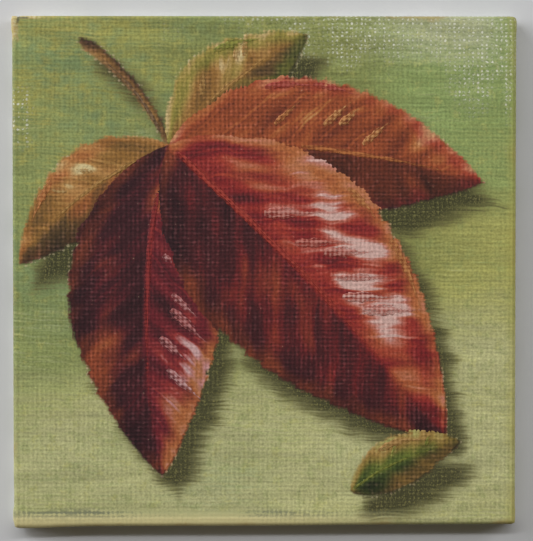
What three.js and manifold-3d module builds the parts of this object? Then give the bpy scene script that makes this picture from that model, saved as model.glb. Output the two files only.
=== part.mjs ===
// A small artist's canvas panel: primed cotton cloth glued round a stiff board, with its margins
// turned over onto the back and a sheet of paper covering their cut edges.
// Millimetres, +Z up. The panel lies on its back with the painted face up. The origin is at the
// middle of the back, on the surface that the panel lies on, and +Y points to the picture's top.
import * as THREE from "three";
import { mergeVertices } from "three/addons/utils/BufferGeometryUtils.js";
import Module from "manifold-3d";

// Driving dimensions
const panelWidth = 100; // across X, over the cloth
const panelHeight = 101; // along Y, over the cloth
const boardThickness = 2.2;
const clothThickness = 0.5;
const paperThickness = 0.25;
const glueLine = 0.05; // room for glue between two layers
const turnover = 15; // cloth folded onto the back, measured from the panel's edge
const paperMargin = 6; // bare cloth between the paper's edge and the panel's
const paperRamp = 1.2; // width of the slope where the paper dips from the cloth to the board
const foldRadius = 0.7; // outside of the cloth where it turns round the board's edges
const cornerRadius = 0.9; // of the panel's outline
const leastRadius = 0.15; // of the corners of an outline set in from it
const arcSteps = 4; // straight steps in a quarter turn
const tuckLength = 3.4; // spare cloth tucked in at each corner, along the left and right sides
const tuckThickness = 0.25;
const tuckEase = 1.3; // length over which a tuck rises from the corner
const mitreGap = 0.4; // between two margins where they meet on the back
const mitreStart = 1.6; // where that gap starts, measured in from both edges

// Heights above the surface, layer by layer from the back
const marginBottom = paperThickness + glueLine;
const marginTop = marginBottom + clothThickness;
const boardBottom = marginTop + glueLine;
const boardTop = boardBottom + boardThickness;
const faceBottom = boardTop + glueLine;
const faceTop = faceBottom + clothThickness;

const wasm = await Module();
wasm.setup();

// The panel's rounded outline, set in by `inset` at height `z`, anticlockwise seen from above.
function outline(inset, z) {
  const radius = Math.max(cornerRadius - inset, leastRadius);
  const centreX = panelWidth / 2 - inset - radius;
  const centreY = panelHeight / 2 - inset - radius;
  const quarters = [[1, 1], [-1, 1], [-1, -1], [1, -1]];
  return quarters.flatMap(([sideX, sideY], quarter) =>
    Array.from({ length: arcSteps + 1 }, (_, step) => {
      const angle = (quarter + step / arcSteps) * (Math.PI / 2);
      const x = sideX * centreX + radius * Math.cos(angle);
      const y = sideY * centreY + radius * Math.sin(angle);
      return new THREE.Vector3(x, y, z);
    }),
  );
}

// A closed layer swept round the panel. Its section is a list of [inset, z] points that runs from
// a flat cap facing down to a flat cap facing up, with the outside on the right.
function sweptLayer(section) {
  const rings = section.map(([inset, z]) => outline(inset, z));
  const count = rings[0].length;
  const points = rings.flat();
  const triangles = [];
  for (let ring = 0; ring + 1 < rings.length; ring++) {
    for (let i = 0; i < count; i++) {
      const a = ring * count + i;
      const b = ring * count + ((i + 1) % count);
      triangles.push(a, b, b + count, a, b + count, a + count);
    }
  }
  const firstCentre = points.push(new THREE.Vector3(0, 0, section.at(0)[1])) - 1;
  const lastCentre = points.push(new THREE.Vector3(0, 0, section.at(-1)[1])) - 1;
  const lastRing = (rings.length - 1) * count;
  for (let i = 0; i < count; i++) {
    const next = (i + 1) % count;
    triangles.push(firstCentre, next, i, lastCentre, lastRing + i, lastRing + next);
  }
  return new THREE.BufferGeometry().setFromPoints(points).setIndex(triangles);
}

// A quarter turn of a section, from one angle to another round a centre.
function sectionArc(centreInset, centreZ, radius, from, to) {
  return Array.from({ length: arcSteps + 1 }, (_, step) => {
    const angle = from + ((to - from) * step) / arcSteps;
    return [centreInset - radius * Math.cos(angle), centreZ + radius * Math.sin(angle)];
  });
}

function toSolid(geometry) {
  const bare = geometry.index ? geometry.toNonIndexed() : geometry.clone();
  bare.deleteAttribute("normal");
  bare.deleteAttribute("uv");
  const merged = mergeVertices(bare, 1e-4);
  return new wasm.Manifold(
    new wasm.Mesh({
      numProp: 3,
      vertProperties: merged.attributes.position.array,
      triVerts: new Uint32Array(merged.index.array),
    }),
  );
}

function toGeometry(solid) {
  const { vertProperties, triVerts } = solid.getMesh();
  const geometry = new THREE.BufferGeometry();
  geometry.setAttribute("position", new THREE.BufferAttribute(vertProperties, 3));
  geometry.setIndex(new THREE.BufferAttribute(triVerts, 1));
  return geometry;
}

// The stiff core, a plain sheet that the cloth wraps.
function boardGeometry() {
  const inset = clothThickness + glueLine;
  return sweptLayer([
    [inset, boardBottom],
    [inset, boardTop],
  ]);
}

// One corner's spare cloth: a low ridge on the side wall that rises from the corner and ends in a
// folded edge. It is drawn in plan, for the right-hand upper corner, and stands as high as the wall.
function tuckGeometry() {
  const wall = panelWidth / 2;
  const root = wall - clothThickness / 2; // sunk into the wall
  const crest = wall + tuckThickness;
  const upper = panelHeight / 2 - cornerRadius;
  const lower = panelHeight / 2 - tuckLength;
  const plan = new THREE.Shape();
  plan.moveTo(root, lower);
  plan.lineTo(wall, lower);
  plan.quadraticCurveTo(crest, lower, crest, lower + 2 * tuckThickness);
  plan.lineTo(crest, upper - tuckEase);
  plan.quadraticCurveTo(crest, upper - tuckEase / 2, wall, upper);
  plan.lineTo(root, upper);
  const low = marginBottom + foldRadius / 2;
  const high = faceTop - foldRadius / 2;
  return new THREE.ExtrudeGeometry(plan, {
    depth: high - low,
    bevelEnabled: false,
    curveSegments: arcSteps,
  }).translate(0, 0, low);
}

// The slot between two margins, along a corner's diagonal on the back.
function mitreGeometry(sideX, sideY) {
  const reach = (turnover - mitreStart) * Math.SQRT2;
  const along = mitreStart + (turnover - mitreStart) / 2;
  const middleX = sideX * (panelWidth / 2 - along);
  const middleY = sideY * (panelHeight / 2 - along);
  const middleZ = (marginBottom + marginTop) / 2;
  const slotDepth = clothThickness + glueLine; // through the margin and clear of the board
  return new THREE.BoxGeometry(reach, mitreGap, slotDepth)
    .rotateZ((sideX * sideY * Math.PI) / 4)
    .translate(middleX, middleY, middleZ);
}

// The cloth: painted face, four sides and the margins on the back, with tucked, mitred corners.
function canvasGeometry() {
  const quarter = Math.PI / 2;
  let cloth = toSolid(
    sweptLayer([
      [clothThickness, faceBottom],
      [clothThickness, marginTop],
      [turnover, marginTop],
      [turnover, marginBottom],
      ...sectionArc(foldRadius, marginBottom + foldRadius, foldRadius, -quarter, 0),
      ...sectionArc(foldRadius, faceTop - foldRadius, foldRadius, 0, quarter),
    ]),
  );
  for (const [sideX, sideY] of [[1, 1], [-1, 1], [-1, -1], [1, -1]]) {
    const tuck = toSolid(tuckGeometry()).scale([sideX, sideY, 1]);
    cloth = cloth.add(tuck).subtract(toSolid(mitreGeometry(sideX, sideY)));
  }
  return toGeometry(cloth);
}

// The paper over the back: a flat rim on the cloth margins and a field that dips to the board.
function paperGeometry() {
  const rimInner = turnover + glueLine;
  const field = rimInner + paperRamp;
  const fieldTop = boardBottom - glueLine;
  return sweptLayer([
    [field, fieldTop - paperThickness],
    [rimInner, 0],
    [paperMargin, 0],
    [paperMargin, paperThickness],
    [rimInner, paperThickness],
    [field, fieldTop],
  ]);
}

function piece(name, geometry, color, roughness) {
  const shown = geometry.toNonIndexed();
  shown.computeVertexNormals();
  const material = new THREE.MeshStandardMaterial({ color, roughness, metalness: 0 });
  const mesh = new THREE.Mesh(shown, material);
  mesh.name = name;
  return mesh;
}

const panel = new THREE.Group();
panel.add(
  piece("board", boardGeometry(), 0x8f8678, 0.9),
  piece("canvas", canvasGeometry(), 0x858751, 0.55),
  piece("backing_paper", paperGeometry(), 0xd9cdb4, 0.85),
);

export default panel;
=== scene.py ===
import math
from collections import namedtuple

import bpy
import numpy as np
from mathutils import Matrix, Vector


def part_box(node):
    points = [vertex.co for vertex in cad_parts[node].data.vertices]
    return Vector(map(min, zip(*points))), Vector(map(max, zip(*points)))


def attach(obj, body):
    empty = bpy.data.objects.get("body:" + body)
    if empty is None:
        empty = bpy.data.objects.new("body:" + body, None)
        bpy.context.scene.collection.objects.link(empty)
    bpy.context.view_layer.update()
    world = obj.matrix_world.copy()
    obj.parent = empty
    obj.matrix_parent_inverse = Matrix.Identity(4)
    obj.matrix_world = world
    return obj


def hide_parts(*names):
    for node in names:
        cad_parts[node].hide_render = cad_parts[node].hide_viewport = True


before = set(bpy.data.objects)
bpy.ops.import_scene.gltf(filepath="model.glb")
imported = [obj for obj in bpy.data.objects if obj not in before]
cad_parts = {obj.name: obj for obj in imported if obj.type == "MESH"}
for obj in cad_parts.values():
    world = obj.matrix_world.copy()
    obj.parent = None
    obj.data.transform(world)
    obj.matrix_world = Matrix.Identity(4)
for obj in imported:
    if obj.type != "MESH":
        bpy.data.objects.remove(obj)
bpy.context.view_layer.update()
mm = 0.001
scene = bpy.context.scene


# Small helpers: colours, wires between nodes, meshes and node trees

def tone(red, green, blue):  # a colour as seen, 0 to 255, made linear
    return tuple(((part / 255 + 0.055) / 1.055) ** 2.4 for part in (red, green, blue)) + (1.0,)


def setStops(ramp, stops):  # places and colours of a colour ramp
    ramp.elements.remove(ramp.elements[1])
    ramp.elements[0].position = stops[0][0]
    ramp.elements[0].color = stops[0][1]
    for position, colour in stops[1:]:
        ramp.elements.new(position).color = colour


class Wire:  # a socket that can stand in Python arithmetic
    def __init__(self, tree, socket=None):
        self.tree = tree
        self.socket = socket

    def node(self, kind, settings=None, values=None, out=0):  # settings first, then the sockets
        made = self.tree.nodes.new(kind)
        for name, value in (settings or {}).items():
            if name == "stops":
                setStops(made.color_ramp, value)
            else:
                setattr(made, name, value)
        for key, value in (values or {}).items():
            if isinstance(value, Wire):
                self.tree.links.new(value.socket, made.inputs[key])
            else:
                made.inputs[key].default_value = value
        return Wire(self.tree, made.outputs[out])

    def math(self, operation, *terms):
        return self.node("ShaderNodeMath", {"operation": operation}, dict(enumerate(terms)))

    def __add__(self, other):
        return self.math("ADD", self, other)

    def __sub__(self, other):
        return self.math("SUBTRACT", self, other)

    def __rsub__(self, other):
        return self.math("SUBTRACT", other, self)

    def __mul__(self, other):
        return self.math("MULTIPLY", self, other)

    def __truediv__(self, other):
        return self.math("DIVIDE", self, other)

    def __pow__(self, other):
        return self.math("POWER", self, other)

    def __abs__(self):
        return self.math("ABSOLUTE", self)

    __radd__ = __add__
    __rmul__ = __mul__

    def cos(self):
        return self.math("COSINE", self)

    def above(self, level):  # 1 over the level, otherwise 0
        return self.math("GREATER_THAN", self, level)

    def most(self, other):
        return self.math("MAXIMUM", self, other)

    def clip(self):  # held between 0 and 1
        return self.node("ShaderNodeClamp", None, {0: self})

    def smooth(self, low, high):  # 0 at low, 1 at high, with a soft start and end
        rising = {0: self, 1: low, 2: high, 3: 0.0, 4: 1.0}
        if low > high:
            rising = {0: self, 1: high, 2: low, 3: 1.0, 4: 0.0}
        return self.node("ShaderNodeMapRange", {"interpolation_type": "SMOOTHSTEP"}, rising)

    def blend(self, first, second, amount, way="MIX"):  # two colours
        settings = {"data_type": "RGBA", "blend_type": way}
        return self.node("ShaderNodeMix", settings, {0: amount, 6: first, 7: second}, 2)

    def layered(self, colour, coats):  # coats over a colour, each with how much it covers
        for coat, amount in coats:
            colour = self.blend(colour, coat, amount)
        return colour

    def pick(self, other, amount):  # one vector or the other
        return self.node("ShaderNodeMix", {"data_type": "VECTOR"}, {0: amount, 4: self, 5: other}, 1)

    def scaled(self, amount):  # a colour or vector made brighter or longer
        return self.node("ShaderNodeVectorMath", {"operation": "SCALE"}, {0: self, 3: amount})

    def point(self, x, y, z=0.0):
        return self.node("ShaderNodeCombineXYZ", None, {0: x, 1: y, 2: z})

    def parts(self):  # the three numbers of a vector
        split = self.node("ShaderNodeSeparateXYZ", None, {0: self})
        return [Wire(self.tree, out) for out in split.socket.node.outputs]

    def place(self):  # millimetres from the panel's origin
        return self.node("ShaderNodeTexCoord", None, None, "Object").scaled(1 / mm)

    def noise(self, place, scale=1.0, detail=2.0, rough=0.5, out="Fac"):
        sockets = {"Vector": place, "Scale": scale, "Detail": detail, "Roughness": rough}
        return self.node("ShaderNodeTexNoise", None, sockets, out)

    def noiseAt(self, x, y, z, detail=2.0, rough=0.5):  # stretched by what x, y and z are scaled with
        return self.noise(self.point(x, y, z), 1.0, detail, rough)

    def speckle(self, place, scale=1.0, detail=2.0):  # three noises at once
        return self.noise(place, scale, detail, out="Color").parts()

    def ramp(self, value, stops):
        return self.node("ShaderNodeValToRGB", {"stops": stops}, {0: value})

    def relief(self, height, strength):  # a bumped normal
        return self.node("ShaderNodeBump", None, {"Strength": strength, "Distance": mm, "Height": height})

    def attribute(self, name, out="Vector"):  # a field of the mesh, in a material
        return self.node("ShaderNodeAttribute", {"attribute_name": name}, None, out)

    def field(self, name, kind="FLOAT"):  # the same, in a Geometry Nodes tree
        return self.node("GeometryNodeInputNamedAttribute", {"data_type": kind}, {"Name": name})

    def keep(self, name, value):  # a shape with one more field
        values = {"Geometry": self, "Name": name, "Value": value}
        return self.node("GeometryNodeStoreNamedAttribute", None, values)


def newMaterial(name, specular=0.3):
    material = bpy.data.materials.new(name)
    material.use_nodes = True
    shader = material.node_tree.nodes["Principled BSDF"]
    shader.inputs["Specular IOR Level"].default_value = specular
    return material, Wire(material.node_tree), shader


def feed(shader, **values):  # links or values of the shader's sockets, named without spaces
    for socket in shader.inputs:
        value = values.get(socket.name.replace(" ", ""))
        if isinstance(value, Wire):
            value.tree.links.new(value.socket, socket)
        elif value is not None:
            socket.default_value = value


def addField(mesh, label, values):  # a number or a vector kept on every point
    kind = "FLOAT" if values.ndim == 1 else "FLOAT_VECTOR"
    field = mesh.attributes.new(label, kind, "POINT")
    field.data.foreach_set("value" if values.ndim == 1 else "vector", values.astype(np.float32).ravel())


def newMesh(name, points, faces, fields=None, edges=()):
    mesh = bpy.data.meshes.new(name)
    mesh.from_pydata(points, edges, faces)
    for label, values in (fields or {}).items():
        addField(mesh, label, values)
    mesh.shade_smooth()
    piece = bpy.data.objects.new(name, mesh)
    scene.collection.objects.link(piece)
    return piece


def gridQuads(rows, columns):  # numbers of a grid's points, and its quads
    index = np.arange(columns * rows).reshape(rows, columns)
    quads = np.stack([index[:-1, :-1], index[:-1, 1:], index[1:, 1:], index[1:, :-1]], -1)
    return index, quads.reshape(-1, 4)


def newTree(name, sizes):  # a Geometry Nodes tree with a named input for each size
    tree = bpy.data.node_groups.new(name, "GeometryNodeTree")
    tree.interface.new_socket("Geometry", in_out="INPUT", socket_type="NodeSocketGeometry")
    for label, value in sizes.items():
        kind = "NodeSocketInt" if isinstance(value, int) else "NodeSocketFloat"
        tree.interface.new_socket(label, in_out="INPUT", socket_type=kind).default_value = value
    tree.interface.new_socket("Geometry", in_out="OUTPUT", socket_type="NodeSocketGeometry")
    entry = tree.nodes.new("NodeGroupInput")
    sockets = {socket.name: Wire(tree, socket) for socket in entry.outputs if socket.name}
    return tree, sockets


def endTree(tree, shape, material):  # Realize Instances and Set Material close every tree
    real = shape.node("GeometryNodeRealizeInstances", None, {0: shape})
    dressed = real.node("GeometryNodeSetMaterial", None, {"Geometry": real, "Material": material})
    leave = tree.nodes.new("NodeGroupOutput")
    tree.links.new(dressed.socket, leave.inputs[0])


def runTree(piece, tree, sizes):  # sets the sizes, then keeps the result as a plain mesh
    modifier = piece.modifiers.new("nodes", "NODES")
    modifier.node_group = tree
    for item in tree.interface.items_tree:
        if item.in_out == "INPUT" and item.name in sizes:
            modifier[item.identifier] = sizes[item.name]
    graph = bpy.context.evaluated_depsgraph_get()
    evaluated = piece.evaluated_get(graph)
    made = bpy.data.meshes.new_from_object(evaluated, preserve_all_data_layers=True, depsgraph=graph)
    piece.modifiers.clear()
    piece.data = made
    return piece


# Camera, lights and floor

view = {
    "place": (-7.69 * mm, 13.98 * mm, 453.06 * mm),  # fitted to the panel's corners in the picture
    "turn": (-1.773, -1.024, -0.012),  # degrees
    "sensor": 24.0,
    "lens": 100.41,
    "nearest": 0.01,
}
lamps = {  # degrees round the panel from its right side and above the floor, then metres
    "strip": {"round": 97.1, "above": 53.5, "far": 1.0, "size": (1.38, 0.06), "watts": 4.2},
    "window": {"round": 150.0, "above": 15.1, "far": 1.3, "size": (1.25, 0.11), "watts": 23.0},
    "doorway": {"round": 28.7, "above": 22.1, "far": 1.3, "size": (0.69, 0.12), "watts": 6.4},
}
sky = {"strength": 0.1, "tint": (1.0, 0.84, 0.56, 1.0)}
floorSize = 3.0


def placeCamera():
    data = bpy.data.cameras.new("camera")
    data.sensor_fit = "VERTICAL"
    data.sensor_height = view["sensor"]
    data.lens = view["lens"]
    data.clip_start = view["nearest"]
    camera = bpy.data.objects.new("camera", data)
    camera.location = view["place"]
    camera.rotation_euler = [math.radians(angle) for angle in view["turn"]]
    scene.collection.objects.link(camera)
    scene.camera = camera


def placeLamps():
    for name, lamp in lamps.items():
        data = bpy.data.lights.new(name, "AREA")
        data.shape = "RECTANGLE"
        data.size = lamp["size"][0]
        data.size_y = lamp["size"][1]
        data.energy = lamp["watts"]
        source = bpy.data.objects.new(name, data)
        turn = math.radians(lamp["round"])
        rise = math.radians(lamp["above"])
        outward = Vector((math.cos(rise) * math.cos(turn), math.cos(rise) * math.sin(turn), math.sin(rise)))
        source.location = outward * lamp["far"]
        source.rotation_euler = (-outward).to_track_quat("-Z", "Y").to_euler()
        scene.collection.objects.link(source)


def placeSky():
    world = bpy.data.worlds.new("studio")
    world.use_nodes = True
    background = world.node_tree.nodes["Background"]
    background.inputs["Color"].default_value = sky["tint"]
    background.inputs["Strength"].default_value = sky["strength"]
    scene.world = world
    scene.view_settings.view_transform = "Standard"


def floorFinish():
    material, w, shader = newMaterial("paleFloor", 0.05)
    place = w.place()
    mottle = w.noise(place, 0.014, 3.0)
    fine = w.noise(place, 0.9)
    colour = w.blend(tone(201, 203, 207), tone(209, 211, 215), mottle)
    feed(shader, BaseColor=colour, Roughness=0.55 + fine * 0.1)
    return material


def placeFloor():
    half = floorSize / 2
    corners = [(-half, -half, 0), (half, -half, 0), (half, half, 0), (-half, half, 0)]
    floor = newMesh("floor", corners, [(0, 1, 2, 3)])
    floor.data.materials.append(floorFinish())


placeCamera()
placeLamps()
placeSky()
placeFloor()
print("camera, lamps and floor placed")


# The cloth: a woven sheet over the face, round the sides and onto the back

cloth = {
    "warpPitch": 0.93 * mm,  # between upright threads
    "weftPitch": 0.84 * mm,  # between level threads
    "thickness": 0.5 * mm,
    "foldRadius": 0.7 * mm,
    "foldSteps": 6,
    "wallSteps": 4,
    "marginSteps": 12,  # fine loops on the bare margin, where the paper doesn't cover it
    "bareMargin": 6.6 * mm,
    "turnover": 15 * mm,
    "cornerEase": 0.5 * mm,  # length over which a side turns into a corner
    "crispness": 0.8,  # of the corners that are folded square
    "tuckProud": 0.25 * mm,
    "tuckLength": 3.4 * mm,
    "tuckStart": (-0.4 * mm, 0.5 * mm),  # where a tuck rises by the corner
    "tuckEnd": 0.4 * mm,  # length over which it falls again
    "sagSpan": (-10 * mm, 45 * mm),  # where the sag of the foot eases off
    "mitreStart": 1.6 * mm,
    "mitreGap": 0.3 * mm,
    "strayThread": 0.05 * mm,  # how far a thread lies from its even place
    "sway": 0.1 * mm,  # slow waves along the threads
    "swayEase": 3 * mm,  # where they die out towards the edges
    "relief": 0.05 * mm,  # from the pits between threads to their crossings
    "reliefShares": {"fold": 0.8, "side": 0.7, "foot": 0.5, "margin": 0.3},  # what shows of it
    "slub": 0.035 * mm,  # thick and thin stretches of thread
    "seed": 5,
}
clothLow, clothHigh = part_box("canvas")
halfX = clothHigh.x - cloth["tuckProud"]
halfY = clothHigh.y
flatX = halfX - cloth["foldRadius"]  # half of the flat face, inside the folds
flatY = halfY - cloth["foldRadius"]
faceTop = clothHigh.z
marginBottom = clothLow.z


def step(values, low, high):  # soft step from 0 to 1
    t = np.clip((values - low) / (high - low), 0, 1)
    return t * t * (3 - 2 * t)


def bump(values, middle, spread):  # soft single hump
    return np.exp(-(((values - middle) / spread) ** 2))


def gridLines(half, pitch):  # two lines to a thread, with closer ones by the edges for round corners
    count = 2 * round(2 * half / pitch)
    lines = np.linspace(-half, half, count + 1)
    ends = [lines[0:3], lines[-3:]]
    extra = [(end[:-1] + end[1:]) / 2 for end in ends]
    return np.sort(np.concatenate([lines, *extra])), 4 * half / count


xLines, warpPitch = gridLines(flatX, cloth["warpPitch"])
yLines, weftPitch = gridLines(flatY, cloth["weftPitch"])
sides = {  # anticlockwise; humps have a height, a place and a spread, tucks a share at the top and the foot
    "bottom": {
        "line": xLines, "level": True, "sign": -1, "crispEnd": 1,
        "humps": [(0.36 * mm, -47 * mm, 7.5 * mm)], "tucks": (0, 0), "sag": (0.44 * mm, 0.24 * mm),
    },
    "right": {
        "line": yLines, "level": False, "sign": 1, "crispEnd": -1,
        "humps": [], "tucks": (0.3, 0.3), "sag": (0, 0),
    },
    "top": {
        "line": xLines[::-1], "level": True, "sign": 1, "crispEnd": -1,
        "humps": [(-0.16 * mm, -48.8 * mm, 0.3 * mm)], "tucks": (0, 0), "sag": (0, 0),
    },
    "left": {
        "line": yLines[::-1], "level": False, "sign": -1, "crispEnd": 1,
        "humps": [(-0.07 * mm, -44.6 * mm, 2.6 * mm)], "tucks": (0.7, 0.6), "sag": (0, 0),
    },
}
Loop = namedtuple("Loop", "inset height push reach relief slit", defaults=(False,))


def outwardPush(side, along):  # how far the cloth stands out from a straight side, by place along it
    sagStart, sagEnd = side["sag"]
    push = sagStart + (sagEnd - sagStart) * step(along, *cloth["sagSpan"])
    for height, middle, spread in side["humps"]:
        push = push + height * bump(along, middle, spread)
    length = cloth["tuckLength"]
    for share, gap in zip(side["tucks"], (halfY - along, halfY + along)):
        tuck = step(gap, *cloth["tuckStart"]) * (1 - step(gap, length - cloth["tuckEnd"], length))
        push = push + share * cloth["tuckProud"] * tuck
    return push


def clothSection():  # loops from the face's edge over the side to the back, then along the inside
    fold = cloth["foldRadius"]
    shares = cloth["reliefShares"]
    wallTop = faceTop - fold
    wallFoot = marginBottom + fold
    turns = [math.pi / 2 * count / cloth["foldSteps"] for count in range(1, cloth["foldSteps"] + 1)]
    section = []
    for turn in turns:  # over the upper fold
        inset = fold * (1 - math.sin(turn))
        height = wallTop + fold * math.cos(turn)
        section.append(Loop(inset, height, math.sin(turn), fold * turn, shares["fold"]))
    start = section[-1].reach
    for down in np.linspace(0, wallTop - wallFoot, cloth["wallSteps"] + 1)[1:]:
        section.append(Loop(0, wallTop - down, 1, start + down, shares["side"]))
    start = section[-1].reach
    for turn in turns:  # round the lower fold
        inset = fold * (1 - math.cos(turn))
        height = wallFoot - fold * math.sin(turn)
        section.append(Loop(inset, height, math.cos(turn), start + fold * turn, shares["foot"]))
    start = section[-1].reach
    bare = np.linspace(fold, cloth["bareMargin"], cloth["marginSteps"] + 1)[1:]
    covered = [(cloth["bareMargin"] + cloth["turnover"]) / 2, cloth["turnover"]]
    for inset in [*bare, *covered]:  # the margin, slit along the corners' diagonals
        slit = inset > cloth["mitreStart"]
        section.append(Loop(inset, marginBottom, 0, start + inset - fold, shares["margin"], slit))
    reach = section[-1].reach
    slitRoot = max(inset for inset in bare if inset <= cloth["mitreStart"])
    thickness = cloth["thickness"]
    marginTop = marginBottom + thickness
    section.append(Loop(cloth["turnover"], marginTop, 0, reach, 0, True))
    section.append(Loop(slitRoot, marginTop, 0, reach, 0))
    section.append(Loop(thickness, marginTop, 0, reach, 0))
    section.append(Loop(thickness, faceTop - thickness, 0, reach, 0))
    return section


def sidePoints(side, loop):  # places and thread counts along one side of a loop
    line = side["line"]
    halfLine = abs(line[0])
    halfOut = flatY if side["level"] else flatX
    rise = cloth["foldRadius"] - loop.inset
    if rise >= 0:
        fromCorner = halfLine - abs(line)
        lean = math.pi / 4 * np.clip(1 - fromCorner / cloth["cornerEase"], 0, 1) * np.sign(line)
        crisp = cloth["crispness"] * (np.sign(line) == side["crispEnd"])
        bow = rise * (1 + crisp * (1 / np.cos(lean) - 1))
        out = halfOut + bow * np.cos(lean)
        along = line + bow * np.sin(lean)
    else:
        out = np.full(len(line), halfOut + rise)
        along = line * (halfLine + rise) / halfLine
    out = (out + loop.push * outwardPush(side, along)) * side["sign"]
    if loop.slit:
        shift = cloth["mitreGap"] / math.sqrt(2)
        along[0] -= np.sign(along[0]) * shift
        along[-1] -= np.sign(along[-1]) * shift
    unrolled = np.full(len(line), (halfOut + loop.reach) * side["sign"])
    flat = [along, out] if side["level"] else [out, along]
    cut = [along, unrolled] if side["level"] else [unrolled, along]
    points = np.stack([*flat, np.full(len(line), loop.height)], -1)
    threads = np.stack([cut[0] / warpPitch, cut[1] / weftPitch, np.zeros(len(line))], -1)
    return points, threads


def facePoints():  # threads stray a little from their places, less towards the edges
    random = np.random.default_rng(cloth["seed"])
    x, y = np.meshgrid(xLines, yLines)
    inside = np.minimum(flatX - abs(x), flatY - abs(y))
    free = step(inside, 0, cloth["swayEase"])
    stray = []
    for lines in (xLines, yLines):
        loose = np.convolve(random.normal(0, 1, len(lines)), [0.5, 1, 0.5], "same")
        stray.append(loose * cloth["strayThread"])
    swayX = cloth["sway"] * np.sin(y / (9 * mm) + x / (31 * mm)) * np.sin(x / (13 * mm) + 1.3)
    swayY = cloth["sway"] * np.sin(x / (11 * mm) - y / (27 * mm) + 0.6)
    placeX = x + free * (stray[0][None, :] + swayX)
    placeY = y + free * (stray[1][:, None] + swayY)
    points = np.stack([placeX, placeY, np.full(x.shape, faceTop)], -1)
    threads = np.stack([x / warpPitch, y / weftPitch, np.zeros(x.shape)], -1)
    return points.reshape(-1, 3), threads.reshape(-1, 3), -inside.ravel()


class Sheet:  # the cloth's points with their fields, and its faces
    def __init__(self):
        self.rows = {"points": [], "thread": [], "reach": [], "relief": []}
        self.faces = []
        self.total = 0

    def add(self, points, threads, reach, relief):
        count = len(points)
        self.rows["points"].append(points)
        self.rows["thread"].append(threads)
        self.rows["reach"].append(np.full(count, reach) / mm)
        self.rows["relief"].append(np.full(count, relief))
        self.total += count

    def ring(self, loop):  # one loop of the section round the panel: numbers of its points by side
        first = self.total
        numbers = {}
        for name, side in sides.items():
            points, threads = sidePoints(side, loop)
            count = len(points)
            numbers[name] = np.arange(self.total, self.total + count)
            kept = count if loop.slit else count - 1  # an unslit side ends where the next one starts
            self.add(points[:kept], threads[:kept], loop.reach, loop.relief)
        if not loop.slit:
            numbers["left"][-1] = first  # the last side ends where the first one starts
        return numbers

    def join(self, outer, inner):  # quads between two loops
        for name in sides:
            a = outer[name]
            b = inner[name]
            self.faces.extend(np.stack([b[:-1], b[1:], a[1:], a[:-1]], -1).tolist())

    def closeSlits(self, loops):  # cut edges of the margins
        names = list(sides)
        for number, name in enumerate(names):
            before = names[number - 1]
            self.faces.append([int(loop[name][0]) for loop in loops])
            self.faces.append([int(loop[before][-1]) for loop in loops][::-1])

    def closeInside(self, numbers, loop):  # against the board
        rim = np.concatenate([numbers[name][:-1] for name in sides])
        centre = self.total
        self.add(np.array([[0, 0, loop.height]]), np.zeros((1, 3)), loop.reach, 0)
        self.faces.extend([b, a, centre] for a, b in zip(rim.tolist(), np.roll(rim, -1).tolist()))


def buildCloth():
    sheet = Sheet()
    sheet.add(*facePoints(), 1)
    index, quads = gridQuads(len(yLines), len(xLines))
    sheet.faces.extend(quads.tolist())
    edge = {"bottom": index[0, :], "right": index[:, -1], "top": index[-1, ::-1], "left": index[::-1, 0]}
    section = clothSection()
    loops = [edge] + [sheet.ring(loop) for loop in section]
    for outer, inner in zip(loops, loops[1:]):
        sheet.join(outer, inner)
    slits = [number for number, loop in enumerate(section, 1) if loop.slit]
    sheet.closeSlits(loops[slits[0] - 1:slits[-1] + 2])  # with the loops where the slits start
    sheet.closeInside(loops[-1], section[-1])
    fields = {label: np.concatenate(rows) for label, rows in sheet.rows.items()}
    points = fields.pop("points")
    return newMesh("paintedCanvas", points, sheet.faces, fields)


def weaveTree(material):  # lifts the crossings of the threads out of the sheet
    sizes = {"Relief": cloth["relief"], "Slub": cloth["slub"], "Seed": cloth["seed"]}
    tree, given = newTree("weave", sizes)
    shape = given["Geometry"]
    s, t = shape.field("thread", "FLOAT_VECTOR").parts()[:2]
    crossings = ((s * math.tau).cos() + (t * math.tau).cos()) * 0.25
    seed = given["Seed"] * 1.37
    warpSlub = shape.noise(shape.point(s, t * 0.07, seed), 0.9, 1.0)
    weftSlub = shape.noise(shape.point(s * 0.07, t, seed + 9), 0.9, 1.0)
    height = crossings * given["Relief"] * (0.4 + warpSlub + weftSlub * 0.2)
    height = height + given["Slub"] * (warpSlub + weftSlub - 1.0)
    offset = shape.node("GeometryNodeInputNormal").scaled(height * shape.field("relief"))
    lifted = shape.node("GeometryNodeSetPosition", None, {"Geometry": shape, "Offset": offset})
    endTree(tree, lifted, material)
    return tree, sizes


# The generic picture: one compound autumn leaf on a brushed green ground

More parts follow.
